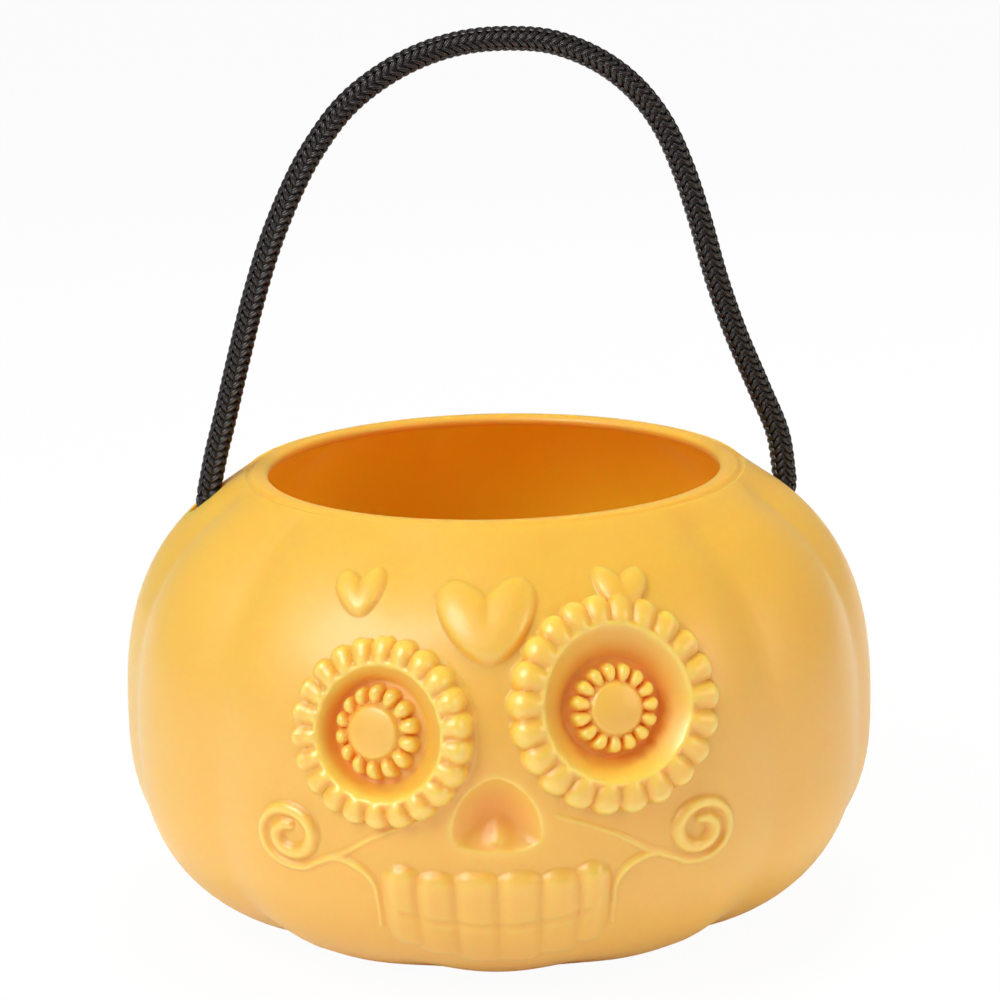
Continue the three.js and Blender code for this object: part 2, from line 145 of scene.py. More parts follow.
def outline_at(arc):
    """Radius, height and outward direction of the plain skin at a distance up it from the belly."""
    return [np.interp(arc, outline_arc, column) for column in (*outline.T, *outward.T)]


def lobe_lift(azimuth, arc):
    """How far the skin sinks towards the crease between two lobes."""
    from_front = np.abs((azimuth + 180) % 360 - 180)
    off_face = smoothstep(*FACE_SIDES, from_front)
    near_base = LOBE_SHARE_AT_BASE * smoothstep(flank_length * 0.55, flank_length * 0.8, -arc)
    near_rim = LOBE_SHARE_AT_RIM * smoothstep(42, 74, arc)
    below_rim = smoothstep(-1, 8, skin_top - arc)
    ridge = np.sqrt(np.cos(np.radians(azimuth * LOBES / 2)) ** 2 + 0.003)
    valley = np.clip((1.0015 - ridge) / 0.9467, 0, 1)
    return -LOBE_DEPTH * valley * np.maximum(np.maximum(off_face, near_base), near_rim) * below_rim


# The relief of the face, moulded with the shell. A form's place is an azimuth in degrees from the front and
# a distance in millimetres up the skin from the belly, and its height is in millimetres off the plain skin.
EYES = [
    dict(azimuth=-16, arc=23.1, lean=0.14, turn=0, opening=15.6, outer=22.5, floor=12.7, depth=4.1,
         aside=(-2.1, -0.2), petals=14, petal_radius=9.3, flower=-0.9),
    dict(azimuth=18, arc=28.9, lean=-0.06, turn=5, opening=17.9, outer=26, floor=11.2, depth=7.2,
         aside=(0.3, -1.4), petals=15, petal_radius=8.9, flower=-1.4),
]
BEADS, BEAD_FULLNESS, BEAD_HEIGHT = 22, 1.12, 3
PETAL_INWARD, PETAL_OUTWARD, PETAL_FULLNESS, PETAL_HEIGHT = 2.4, 2.3, 0.9, 2.1
RIDGE = 2.3
HEARTS = [
    dict(azimuth=-0.4, arc=49.6, width=24.6, height=22, turn=3, lift=3, cleft=(4, -6)),
    dict(azimuth=-21.9, arc=56.1, width=12.6, height=13.2, turn=16, lift=2.1, cleft=(4, -6)),
    dict(azimuth=21.9, arc=55.3, width=13.6, height=13.4, turn=-11, lift=2.1, cleft=(4, -6)),
]
NOSE = dict(azimuth=0.4, arc=4.2, width=21, height=18, turn=0, widest=5.5, depth=5.5)
TOOTH_EDGES = [-15.1, -11, -5.6, 0.3, 6.3, 11.7, 15.3]
TOOTH_TOP = [-8.7, -10, -9.8, -9.8, -10, -8.5]
TOOTH_FOOT = [-33.5, -38, -42, -42, -38, -33.5]
TOOTH_LIFTS, TOOTH_ENDS = (2.6, 1), (4.4, 4)
CREASE_ARC, CREASE_RISE, CREASE_DEPTH = -24.2, 4.5, 0.45
SCROLL = dict(azimuth=29.7, arc=-3.9, turn=0)
SCROLL_START, SCROLL_END, SCROLL_TURNS, SCROLL_BREADTH = 8.4, 2.3, 1.55, 1.15
SCROLL_STEM = [(25.5, -9.9), (22.6, -8), (18.8, -10.3), (17.1, -14.2), (16.9, -19.7), (17.2, -26.9)]
SCROLL_TAIL = [(24, -8.9), (21.4, -6.8), (17.2, -2.4), (12.8, 1), (8.6, 3.8)]
STEM_WIDTHS = [(0, 2.8), (4, 3.9), (18, 4), (26, 3.7), (37, 2.8), (50, 2.3), (62, 1.9), (72, 2.3), (84, 1.2)]
TAIL_WIDTHS = [(0, 1.8), (8, 1.5), (18, 1), (30, 0.6)]


def smooth_max(a, b, fillet=0.25):
    """The higher of two heights, with a fillet where they cross."""
    return (a + b + np.sqrt((a - b) ** 2 + fillet**2)) / 2


def raised(share, power):
    """A height that is 1 in the middle and 0 at the edge, and goes on down outside it."""
    return np.clip(np.sign(share) * np.abs(share) ** power, -1.5, 1)


def join(relief, form):
    """Adds a form to the relief where it stands above it."""
    return np.where(form > -1.1, smooth_max(relief, form), relief)


def local(azimuth, arc, place):
    """Millimetres across and up from a place on the skin, turned with it."""
    u = np.radians(azimuth - place["azimuth"]) * outline_at(place["arc"])[0]
    v = arc - place["arc"]
    c, s = math.cos(math.radians(place["turn"])), math.sin(math.radians(place["turn"]))
    return u * c + v * s, v * c - u * s


def egg_ring(u, v, count, radius, inner, outer, fullness, high):
    """Heights of egg shapes side by side round a circle, by how far each reaches in and out."""
    step = 2 * math.pi / count
    off = (np.arctan2(u, v) + step / 2) % step - step / 2
    r = np.hypot(u, v)
    reach = np.abs(r - radius) / np.where(r > radius, outer, inner)
    share = 1 - reach**2.5 - (2 * off / step / fullness) ** 2
    return high * np.sign(share) * np.sqrt(np.abs(share))


def eye_relief(relief, azimuth, arc, eye):
    """An eye: a ring of beads round a bowl, and a domed flower with a ring of petals on the bowl's floor."""
    u, v = local(azimuth, arc, eye)
    r = np.hypot(u, v)
    opening, outer, depth, top = eye["opening"], eye["outer"], eye["depth"], eye["flower"]
    middle = (opening + outer) / 2
    lean = eye["lean"] * u * (1 - 0.55 * smoothstep(middle, outer, r))
    reach = middle - opening + 0.7, outer - middle
    beads = 0.6 + egg_ring(u, v, BEADS, middle, *reach, BEAD_FULLNESS, BEAD_HEIGHT)
    lip = 0.4 * np.exp(-(((r - opening - 0.3) / 0.6) ** 2))
    bank = RIDGE + lip - 0.5 * smoothstep(opening, middle, r) - 2.8 * smoothstep(middle, outer - 0.4, r)
    ring = smooth_max(bank, beads, 0.3)
    slide = 1 - smoothstep(9, opening, r)
    fu, fv = u - eye["aside"][0] * slide, v - eye["aside"][1] * slide
    f = np.hypot(fu, fv)
    rise = np.clip((f - eye["floor"]) / (opening - eye["floor"]), 0, 2)
    bowl = -depth + (RIDGE + 0.3 + depth) * rise**1.25
    boss = -depth + (top - 1.4 + depth) * (1 - smoothstep(6.8, 9.8, f))
    petals = top - 1.8 + egg_ring(
        fu, fv, eye["petals"], eye["petal_radius"], PETAL_INWARD, PETAL_OUTWARD, PETAL_FULLNESS, PETAL_HEIGHT
    )
    dome = top + 0.3 - 0.6 * (f / 6.4) ** 2 - 2 * smoothstep(5.8, 8, f)
    flower = smooth_max(smooth_max(boss, petals, 0.2), dome, 0.4)
    cut = -smooth_max(-ring, -smooth_max(bowl, flower, 0.3), 0.35)
    return np.where(r < outer + 1, np.where(r < middle, cut + lean, join(relief, cut + lean)), relief)


def heart_share(u, v, place):
    """1 in the middle of a heart, 0 at its edge and less outside. Its two lobes are leaning ellipses."""
    x, y = u * 25.9 / place["width"], v * 19.7 / place["height"] - 0.6
    c, s = math.cos(math.radians(38)), math.sin(math.radians(38))
    first, second = (
        1 - ((p * s - y * c) / 11.4) ** 2 - ((p * c + y * s) / 6.6) ** 2 for p in (4.2 - x, 4.2 + x)
    )
    soft = 0.06 + 0.5 * (1 - smoothstep(place["cleft"][1], place["cleft"][0], y))
    return smooth_max(first, second, soft) - soft / 2 * (1 - smoothstep(0, 0.5, np.maximum(first, second)))


def welt(u, v, points, widths):
    """Height of a rounded welt along a line. It is as high as 0.42 of its width, which changes along it."""
    line = through(points, 8)
    stations, widths = np.array(widths).T
    best = np.full(u.shape, 99.0)
    width = np.ones(u.shape)
    for (ax, ay), (bx, by), start in zip(line[:-1], line[1:], along(line)):
        length = math.hypot(bx - ax, by - ay)
        t = np.clip(((u - ax) * (bx - ax) + (v - ay) * (by - ay)) / length**2, 0, 1)
        wide = np.interp(start + t * length, stations, widths)
        share = 2 * np.hypot(u - ax - t * (bx - ax), v - ay - t * (by - ay)) / wide
        width = np.where(share < best, wide, width)
        best = np.minimum(best, share)
    return 0.42 * width * raised(1 - best**2, 0.7)


def scroll_relief(relief, azimuth, arc, side):
    """A curled welt beside the mouth with a stem round the teeth and a thin tail towards the nose."""
    u, v = local(azimuth * side, arc, SCROLL)
    near = (np.abs(u) < 45) & (np.abs(v) < 30)
    radius = outline_at(SCROLL["arc"])[0]
    flat = lambda run: [(math.radians(a - SCROLL["azimuth"]) * radius, b - SCROLL["arc"]) for a, b in run]
    curl = []
    for i in range(14, -1, -1):
        reach = SCROLL_START + (SCROLL_END - SCROLL_START) * i / 14
        angle = -math.pi / 2 - 0.35 + 2 * math.pi * SCROLL_TURNS * i / 14
        curl.append((SCROLL_BREADTH * reach * math.cos(angle), reach * math.sin(angle)))
    out = relief.copy()
    main = welt(u[near], v[near], curl + flat(SCROLL_STEM), STEM_WIDTHS)
    tail = welt(u[near], v[near], flat(SCROLL_TAIL), TAIL_WIDTHS)
    out[near] = join(join(relief[near], main), tail)
    return out


def nose_dent(u, v):
    """Depth of the nose: a rounded triangle with a bowl above, and below it a ramp with a soft septum."""
    bottom = -NOSE["height"] / 2
    y = v - bottom - NOSE["widest"]
    drop = np.where(y > 0, (np.abs(y) / (NOSE["height"] - NOSE["widest"])) ** 1.75, (y / NOSE["widest"]) ** 4)
    notch = 0.22 * np.exp(-(((u - 0.6) / 1.8) ** 2)) * smoothstep(0, NOSE["widest"], -y)
    share = 1 - np.abs(2 * u / NOSE["width"]) ** 1.75 - drop - notch
    bowl = NOSE["depth"] * np.sign(share) * np.abs(share) ** 0.8
    climb = v - bottom
    septum = 1.3 * np.exp(-(((u - 0.4) / 2.7) ** 2)) * smoothstep(0, 3, climb)
    ramp = 0.5 + 0.78 * climb - septum
    return smooth_max(-smooth_max(-bowl, -ramp, 1.4), 0, 0.25) * (share > -0.8)


def tooth_relief(relief, azimuth, arc, edges, reach, lifts, ends, spare):
    """A tooth is a rounded column with arched ends, whose height runs from its top to its foot."""
    place = dict(azimuth=sum(edges) / 2, arc=sum(reach) / 2, turn=0)
    u, v = local(azimuth, arc, place)
    half_wide = math.radians(edges[1] - edges[0]) * outline_at(place["arc"])[0] / 2 + spare[0]
    half_high = (reach[1] - reach[0]) / 2 + spare[1]
    end = np.where(v > 0, *ends)
    share = 1 - np.abs(u / half_wide) ** 2.6 - np.maximum((np.abs(v) - half_high) / end + 1, 0) ** 2
    height = lifts[1] + (lifts[0] - lifts[1]) * smoothstep(-half_high, half_high, v)
    return join(relief, height * raised(share, 0.55))


def face_relief(azimuth, arc):
    """Height of the whole face off the plain skin."""
    relief = np.zeros(azimuth.shape)
    for side in (-1, 1):
        relief = scroll_relief(relief, azimuth, arc, side)
    for edges, top, foot in zip(zip(TOOTH_EDGES, TOOTH_EDGES[1:]), TOOTH_TOP, TOOTH_FOOT):
        for spare, share in (((1.5, 0.1), 0.6), ((0.6, 0.3), 0.84), ((0.25, 0), 1)):
            lifts = [lift * share for lift in TOOTH_LIFTS]
            relief = tooth_relief(relief, azimuth, arc, edges, (foot, top), lifts, TOOTH_ENDS, spare)
    crease = np.exp(-((arc - CREASE_ARC - CREASE_RISE * (azimuth / TOOTH_EDGES[-1]) ** 2) ** 2))
    relief = relief - CREASE_DEPTH * crease * (1 - smoothstep(12.5, 14.5, np.abs(azimuth)))
    for heart in HEARTS:
        share = heart_share(*local(azimuth, arc, heart), heart)
        relief = join(relief, heart["lift"] * raised(share, 0.6))
    relief = relief - nose_dent(*local(azimuth, arc, NOSE))
    for eye in EYES:
        relief = eye_relief(relief, azimuth, arc, eye)
    return relief


# The shell is made from a flat sheet: x is the way round in degrees, and y the way up the outside, over
# the rim and down the inside. The face's part of the sheet is cut finer before it is wrapped.
ROUND_STEPS = 216
FINE_CUTS = 6
inside = outline - WALL * outward
inside = inside[(outline_arc > -flank_length) & (inside[:, 1] > WALL)][::-1]
rim = through([
    shoulder[-1], shoulder[-1] - (0.5, 0.35), (RIM_OUTER, shoulder[-1][1] - RIM_GROOVE),
    (RIM_OUTER - 0.25, RIM_HEIGHT - 0.9), (RIM_OUTER - 1.1, RIM_HEIGHT - 0.15),
    ((RIM_OUTER + RIM_INNER) / 2, RIM_HEIGHT), (RIM_INNER + 1.2, RIM_HEIGHT - 0.05),
    (RIM_INNER + 0.2, RIM_HEIGHT - 0.6), (RIM_INNER, RIM_HEIGHT - 1.6), (RIM_INNER + 0.5, RIM_HEIGHT - 2.6),
    (RIM_INNER + 2.2, RIM_HEIGHT - 2.9), inside[0],
], 12)
stretches = [
    (np.array([(0, 0), flank[0]]), 7), (flank, 22), (shoulder, 26), (rim, 28), (inside, 32),
    (np.array([inside[-1], (0, WALL)]), 6),
]
rows = [np.zeros(2)]
row_arc = [-flank_length]
for index, (points, count) in enumerate(stretches):
    run = along(points)
    at = np.linspace(0, run[-1], count + 1)[1:]
    rows += list(np.stack([np.interp(at, run, column) for column in points.T], 1))
    if index in (1, 2):
        row_arc += list(at - (flank_length if index == 1 else 0))
    elif index == 4:
        row_arc += list(outline_arc[::-1][-len(points):][np.searchsorted(run, at).clip(0, len(points) - 1)])
    else:
        row_arc += [skin_top if index == 3 else -flank_length] * count
outer_rows = sum(count for _, count in stretches[:3])
rows, row_arc = np.array(rows), np.array(row_arc)
row_count = len(rows) - 1

bpy.ops.object.select_all(action="DESELECT")
bpy.ops.mesh.primitive_grid_add(x_subdivisions=ROUND_STEPS, y_subdivisions=row_count, size=1)
shell = bpy.context.object
shell.name = "moulded_shell"
bpy.ops.object.mode_set(mode="EDIT")
bpy.ops.transform.resize(value=(360, row_count, 1))
bpy.ops.transform.translate(value=(0, row_count / 2, 0))
bpy.ops.object.mode_set(mode="OBJECT")
bpy.ops.object.transform_apply(location=True, rotation=True, scale=True)


def cut_finer(piece, cuts, wanted):
    """Subdivides the faces of a flat sheet whose middles are wanted."""
    bpy.ops.object.mode_set(mode="EDIT")
    bpy.ops.mesh.select_mode(type="FACE")
    bpy.ops.mesh.select_all(action="DESELECT")
    bpy.ops.object.mode_set(mode="OBJECT")
    middles = np.empty(len(piece.data.polygons) * 3)
    piece.data.polygons.foreach_get("center", middles)
    middles = middles.reshape(-1, 3)
    piece.data.polygons.foreach_set("select", wanted(middles[:, 0], middles[:, 1]))
    bpy.ops.object.mode_set(mode="EDIT")
    bpy.ops.mesh.subdivide(number_cuts=cuts)
    bpy.ops.object.mode_set(mode="OBJECT")


def on_form(azimuth, row):
    """Where the outside carries a form of the face."""
    arc = np.interp(row, np.arange(len(rows)), row_arc)
    near = np.zeros(azimuth.shape, bool)
    for eye in EYES:
        near |= np.hypot(*local(azimuth, arc, eye)) < eye["outer"] + 2.5
    for heart in HEARTS:
        near |= np.hypot(*local(azimuth, arc, heart)) < heart["width"] * 0.5 + 3
    near |= np.hypot(*local(azimuth, arc, NOSE)) < 12.5
    near |= (np.abs(azimuth) < 18.5) & (arc > -46) & (arc < -5)
    near |= np.hypot(*local(np.abs(azimuth), arc, SCROLL)) < 12.5
    near |= (np.abs(azimuth) > 7) & (np.abs(azimuth) < 30) & (arc > -14) & (arc < 6)
    return near & (row < outer_rows)


def behind_face(azimuth, row):
    """Where the inside follows the face."""
    arc = np.interp(row, np.arange(len(rows)), row_arc)
    return (np.abs(azimuth) < 42) & (arc > -46) & (arc < 66) & (row > outer_rows + 28)


cut_finer(shell, FINE_CUTS, on_form)
cut_finer(shell, 1, behind_face)

flat = np.empty(len(shell.data.vertices) * 3)
shell.data.vertices.foreach_get("co", flat)
azimuth, row = flat.reshape(-1, 3)[:, 0], flat.reshape(-1, 3)[:, 1]
row = np.clip(row, 0, row_count)
stations = np.arange(len(rows))
radius = np.interp(row, stations, rows[:, 0])
height = np.interp(row, stations, rows[:, 1])
arc = np.interp(row, stations, row_arc)
outside = row <= outer_rows
on_skin = (arc > -flank_length + 0.01) & (arc < skin_top - 0.01)
r_skin, z_skin, out, up = outline_at(arc)
depth = np.where(outside, 0, WALL)
radius = np.where(on_skin, r_skin - depth * out, radius)
height = np.where(on_skin, z_skin - depth * up, height)

# The inside follows the face more softly, because the wall is blown against the mould from within. A
# crest is where the skin stands above what is round it.
BEHIND_REACH, BEHIND_SPARE = 0.8, 0.7
# The crest and recess masks set where highlight and shade are painted into the plastic's colour.
CREST_REACH, FULL_CREST = 2.2, 0.9
RECESS_START, RECESS_SPAN = 1.2, 5.6
relief = np.zeros(azimuth.shape)
facing = outside & (np.abs(azimuth) < 48) & (arc > -50) & (arc < 70)
relief[facing] = face_relief(azimuth[facing], arc[facing])
crest_highlight_and_gloss = np.zeros(azimuth.shape)
crest_highlight_and_gloss[facing] = relief[facing] - np.mean([
    face_relief(azimuth[facing] + np.degrees(CREST_REACH * dx / BELLY_RADIUS), arc[facing] + CREST_REACH * dy)
    for dx, dy in ((1, 0), (0.7, 0.7), (0, 1), (-0.7, 0.7), (-1, 0), (-0.7, -0.7), (0, -1), (0.7, -0.7))
], axis=0)
behind = ~outside & (np.abs(azimuth) < 48) & (arc > -50) & (arc < 68)
around = [(dx, dy) for dx in range(-2, 3) for dy in range(-2, 3) if dx * dx + dy * dy < 6]
samples = np.array([
    face_relief(azimuth[behind] + np.degrees(BEHIND_REACH * dx / BELLY_RADIUS), arc[behind] + BEHIND_REACH * dy)
    for dx, dy in around
])
relief[behind] = np.minimum(samples.mean(axis=0), samples.min(axis=0) + BEHIND_SPARE)

lobe = lobe_lift(azimuth, arc)
off_base = smoothstep(0, BASE_FILLET, arc + flank_length)
share_of_radius = np.where(on_skin, 1, radius / BELLY_RADIUS)
reach = radius + relief * out + lobe * ((1 - off_base) + out * off_base) * share_of_radius
height = height + (relief + lobe * off_base) * up * on_skin
angle = np.radians(azimuth)
wrapped = np.stack([reach * np.sin(angle), -reach * np.cos(angle), height], 1) * MM
shell.data.vertices.foreach_set("co", wrapped.ravel())
shell.data.update()
for name, share in (
    # painted shade: a deeper orange in the recesses, which are also rougher
    ("recess_shade_and_roughness", np.where(outside, np.clip(-(relief + RECESS_START) / RECESS_SPAN, 0, 1), 0)),
    # painted highlight: a paler yellow on the crests, which also carry more coat
    ("crest_highlight_and_gloss", np.clip(crest_highlight_and_gloss / FULL_CREST, 0, 1)),
    # painted glow: a brighter orange on the inside wall, and a deeper orange on the inside floor
    ("painted_inner_glow", smoothstep(outer_rows + 20, outer_rows + 28, row)),
    ("painted_floor_glow", smoothstep(outer_rows + 36, outer_rows + 58, row)),
):
    shell.data.attributes.new(name, "FLOAT", "POINT").data.foreach_set("value", share.astype(np.float32))
bpy.ops.object.mode_set(mode="EDIT")
bpy.ops.mesh.select_all(action="SELECT")
bpy.ops.mesh.remove_doubles(threshold=1e-6)
bpy.ops.object.mode_set(mode="OBJECT")

# The plastic lets light in. Light and shade are also painted into its colour: the recesses get a painted shade
# of deeper orange and are rougher, the crests a painted highlight of paler yellow and are smoother, and the
# inside a painted glow, the brightest colour on its wall and a deeper orange on its floor. Faint flow marks
# shift its tint, and it has a fine grain.
plastic = bpy.data.materials.new("satin_plastic")
plastic.use_nodes = True
nodes, links = plastic.node_tree.nodes, plastic.node_tree.links
skin = nodes["Principled BSDF"]
skin.inputs["Specular IOR Level"].default_value = 1.2
skin.inputs["Coat Roughness"].default_value = 0.21
skin.inputs["Sheen Weight"].default_value = 0.12
skin.inputs["Sheen Roughness"].default_value = 0.4
skin.inputs["Subsurface Weight"].default_value = 0.85
skin.inputs["Subsurface Radius"].default_value = (1, 0.4, 0.04)
skin.inputs["Subsurface Scale"].default_value = 0.007
place = nodes.new("ShaderNodeTexCoord")
flow = nodes.new("ShaderNodeTexNoise")
flow.inputs["Scale"].default_value = 38
flow.inputs["Detail"].default_value = 4
tint = nodes.new("ShaderNodeMix")
tint.data_type = "RGBA"
tint.inputs["A"].default_value = (0.87, 0.445, 0.03, 1)
tint.inputs["B"].default_value = (0.865, 0.47, 0.04, 1)
grain = nodes.new("ShaderNodeTexNoise")
grain.inputs["Scale"].default_value = 2100
grain.inputs["Detail"].default_value = 2
bump = nodes.new("ShaderNodeBump")
bump.inputs["Strength"].default_value = 0.22
bump.inputs["Distance"].default_value = 0.00012
last_tint, shares = tint, {}
# Painted light and shade, mixed into the base colour by mask: painted shade in the recesses, a painted
# highlight on the crests, and a painted glow on the inside wall and floor.
for name, colour in (
    ("recess_shade_and_roughness", (0.94, 0.28, 0.006, 1)), ("crest_highlight_and_gloss", (0.84, 0.57, 0.07, 1)),
    ("painted_inner_glow", (1, 0.63, 0.015, 1)), ("painted_floor_glow", (1, 0.4, 0.015, 1)),
):
    shares[name] = nodes.new("ShaderNodeAttribute")
    shares[name].attribute_name = name
    mix = nodes.new("ShaderNodeMix")
    mix.data_type = "RGBA"
    mix.inputs["B"].default_value = colour
    links.new(shares[name].outputs["Fac"], mix.inputs["Factor"])
    links.new(last_tint.outputs["Result"], mix.inputs["A"])
    last_tint = mix
for name, share, least, most in (("Roughness", "recess_shade_and_roughness", 0.54, 0.8), ("Coat Weight", "crest_highlight_and_gloss", 0.3, 0.9)):
    sheen = nodes.new("ShaderNodeMapRange")
    sheen.inputs["To Min"].default_value = least
    sheen.inputs["To Max"].default_value = most
    links.new(shares[share].outputs["Fac"], sheen.inputs["Value"])
    links.new(sheen.outputs["Result"], skin.inputs[name])
for a, b in (
    (place.outputs["Object"], flow.inputs["Vector"]), (flow.outputs["Fac"], tint.inputs["Factor"]),
    (last_tint.outputs["Result"], skin.inputs["Base Color"]), (place.outputs["Object"], grain.inputs["Vector"]),
    (grain.outputs["Fac"], bump.inputs["Height"]), (bump.outputs["Normal"], skin.inputs["Normal"]),
):
    links.new(a, b)
shell.data.materials.clear()
shell.data.materials.append(plastic)

# Rope holes: two round holes punched through the finished shell's shoulder, one at each side. Each is a
# little wider than the rope, which comes up through it and is knotted below it.
HOLES = [
    dict(azimuth=-88.5, radius=74, pivot=-73),
    dict(azimuth=99, radius=77.1, pivot=73.5),
]
HOLE_RADIUS = 3.9
PUNCH_LENGTH = 14
PIVOT_HEIGHT = 120.3
for hole in HOLES:
    arcs = np.linspace(0, skin_top, 4000)
    arc_here = arcs[np.argmin(np.abs(outline_at(arcs)[0] - hole["radius"]))]
    height_here = outline_at(arc_here)[1]
    a = math.radians(hole["azimuth"])
    hole["point"] = Vector((hole["radius"] * math.sin(a), -hole["radius"] * math.cos(a), height_here))
middle = (HOLES[0]["point"] + HOLES[1]["point"]) / 2
rope_way = HOLES[1]["point"] - HOLES[0]["point"]
rope_way.z = 0
rope_way.normalize()
rope_side = Vector((0, 0, 1)).cross(rope_way)


def rope_point(run, height):
    """A point of the upright plane through both holes."""
    point = middle + rope_way * run
    return Vector((point.x, point.y, height))


for hole in HOLES:
    lean = (rope_point(hole["pivot"], PIVOT_HEIGHT) - hole["point"]).normalized()
    bpy.ops.object.select_all(action="DESELECT")
    bpy.ops.mesh.primitive_cylinder_add(vertices=40, radius=HOLE_RADIUS * MM, depth=PUNCH_LENGTH * MM)
    punch = bpy.context.object
    turned = lean.to_track_quat("Z", "Y").to_matrix().to_4x4()
    punch.matrix_world = Matrix.Translation(hole["point"] * MM) @ turned
    bpy.context.view_layer.objects.active = shell
    bpy.ops.object.select_all(action="DESELECT")
    shell.select_set(True)
    bpy.ops.object.modifier_add(type="BOOLEAN")
    shell.modifiers[-1].object = punch
    shell.modifiers[-1].operation = "DIFFERENCE"
    bpy.ops.object.modifier_apply(modifier=shell.modifiers[-1].name)
    bpy.data.objects.remove(punch)
bpy.ops.object.shade_smooth_by_angle(angle=math.radians(60))
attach(shell, "bucket")
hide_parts("bucket_shell")

# Rope: one length of black braided cord, six millimetres thick, with eight columns of slanted stitches.
# Its free stretch arches over the mouth, and each end goes down a hole into an overhand knot.
# A stitch is an egg of yarn, with its size along, across and out of the cord, and a core fills the middle.
ROPE_RADIUS = 3
ROPE_ROUTE = [
    (-73, 120.3), (-70.4, 129.5), (-66.2, 145), (-61.6, 161), (-56.4, 176), (-49.5, 191), (-44, 200),
    (-36.5, 209.2), (-27, 216.4), (-17, 221.3), (-6, 224.2), (5.5, 224.8), (16, 223.6), (27.5, 218.8),
    (36.5, 211.8), (43.5, 202.6), (48.6, 191.5), (53, 178), (57.4, 162), (62.4, 147.5), (68.6, 132.6),
    (73.5, 120.3),
]
STITCH_PITCH = 2.1
STITCH_COLUMNS = 8
STITCH_SIZE = (3.8, 1.5, 2)
STITCH_SLANT, STITCH_RISE = 36, 11
STITCH_INSET = 0.7
CORE_INSET = 0.9


def braid(name, points):
    """A braided cord along a run of points: one round of stitches, repeated and laid along a curve."""
    line = through([tuple(p) for p in points], 10)
    length = np.linalg.norm(np.diff(line, axis=0), axis=1).sum()
    rounds = round(length / STITCH_PITCH)
    pitch = length / rounds
    stitches = []
    for column in range(STITCH_COLUMNS):
        bpy.ops.object.select_all(action="DESELECT")
        bpy.ops.mesh.primitive_uv_sphere_add(segments=10, ring_count=6, radius=0.5)
        stitch = bpy.context.object
        slant = math.radians(STITCH_SLANT) * (1 if column % 2 else -1)
        stitch.data.transform(
            Matrix.Translation((pitch / 2, 0, 0))
            @ Matrix.Rotation(2 * math.pi * (column + 0.5) / STITCH_COLUMNS, 4, "X")
            @ Matrix.Translation((0, 0, ROPE_RADIUS - STITCH_INSET))
            @ Matrix.Rotation(slant, 4, "Z")
            @ Matrix.Rotation(-math.radians(STITCH_RISE), 4, "Y")
            @ Matrix.Diagonal((*STITCH_SIZE, 1))
            @ Matrix.Rotation(math.radians(90), 4, "Y")
        )
        stitches.append(stitch)
    bpy.ops.object.select_all(action="DESELECT")
    for stitch in stitches:
        stitch.select_set(True)
    bpy.context.view_layer.objects.active = stitches[0]
    bpy.ops.object.join()
    piece = bpy.context.object
    piece.name = name
    curve = bpy.data.curves.new(name + "_line", "CURVE")
    curve.dimensions = "3D"
    spline = curve.splines.new("POLY")
    spline.points.add(len(line) - 1)
    spline.points.foreach_set("co", np.concatenate([line, np.ones((len(line), 1))], 1).ravel())
    guide = bpy.data.objects.new(name + "_line", curve)
    scene.collection.objects.link(guide)
    bpy.ops.object.modifier_add(type="ARRAY")
    piece.modifiers[-1].use_relative_offset = False
    piece.modifiers[-1].use_constant_offset = True
    piece.modifiers[-1].constant_offset_displace = (pitch, 0, 0)
    piece.modifiers[-1].count = rounds
    bpy.ops.object.modifier_apply(modifier=piece.modifiers[-1].name)
    bpy.ops.object.modifier_add(type="CURVE")
    piece.modifiers[-1].object = guide
    bpy.ops.object.modifier_apply(modifier=piece.modifiers[-1].name)
    curve.bevel_depth = ROPE_RADIUS - CORE_INSET
    curve.bevel_resolution = 2
    curve.use_fill_caps = True
    piece.select_set(False)
    guide.select_set(True)
    bpy.context.view_layer.objects.active = guide
    bpy.ops.object.convert(target="MESH")
    piece.select_set(True)
    bpy.context.view_layer.objects.active = piece
    bpy.ops.object.join()
    piece.data.transform(Matrix.Scale(MM, 4))
    for face in piece.data.polygons:
        face.use_smooth = True
    return piece, line


yarn = bpy.data.materials.new("black_yarn")
yarn.use_nodes = True
nodes, links = yarn.node_tree.nodes, yarn.node_tree.links
thread = nodes["Principled BSDF"]
thread.inputs["Roughness"].default_value = 0.27
thread.inputs["Specular IOR Level"].default_value = 0.65
lie = nodes.new("ShaderNodeTexCoord")
strands = nodes.new("ShaderNodeTexWave")
strands.inputs["Scale"].default_value = 3.2
strands.inputs["Distortion"].default_value = 0.8
strands.inputs["Detail"].default_value = 1
fuzz = nodes.new("ShaderNodeTexNoise")
fuzz.inputs["Scale"].default_value = 900
dye = nodes.new("ShaderNodeMix")
dye.data_type = "RGBA"
dye.inputs["A"].default_value = (0.003, 0.002, 0.002, 1)
dye.inputs["B"].default_value = (0.02, 0.014, 0.013, 1)
strand_bump = nodes.new("ShaderNodeBump")
strand_bump.inputs["Strength"].default_value = 0.7
strand_bump.inputs["Distance"].default_value = 0.00015
for a, b in (
    (lie.outputs["UV"], strands.inputs["Vector"]), (lie.outputs["Object"], fuzz.inputs["Vector"]),
    (fuzz.outputs["Fac"], dye.inputs["Factor"]), (dye.outputs["Result"], thread.inputs["Base Color"]),
    (strands.outputs["Fac"], strand_bump.inputs["Height"]),
    (strand_bump.outputs["Normal"], thread.inputs["Normal"]),
):
    links.new(a, b)

hole_left, hole_right = HOLES[0]["point"], HOLES[1]["point"]
arch, arch_line = braid("rope_arch", [hole_left, *[rope_point(*p) for p in ROPE_ROUTE], hole_right])
arch.data.materials.append(yarn)
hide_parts("rope_handle")
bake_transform(arch)

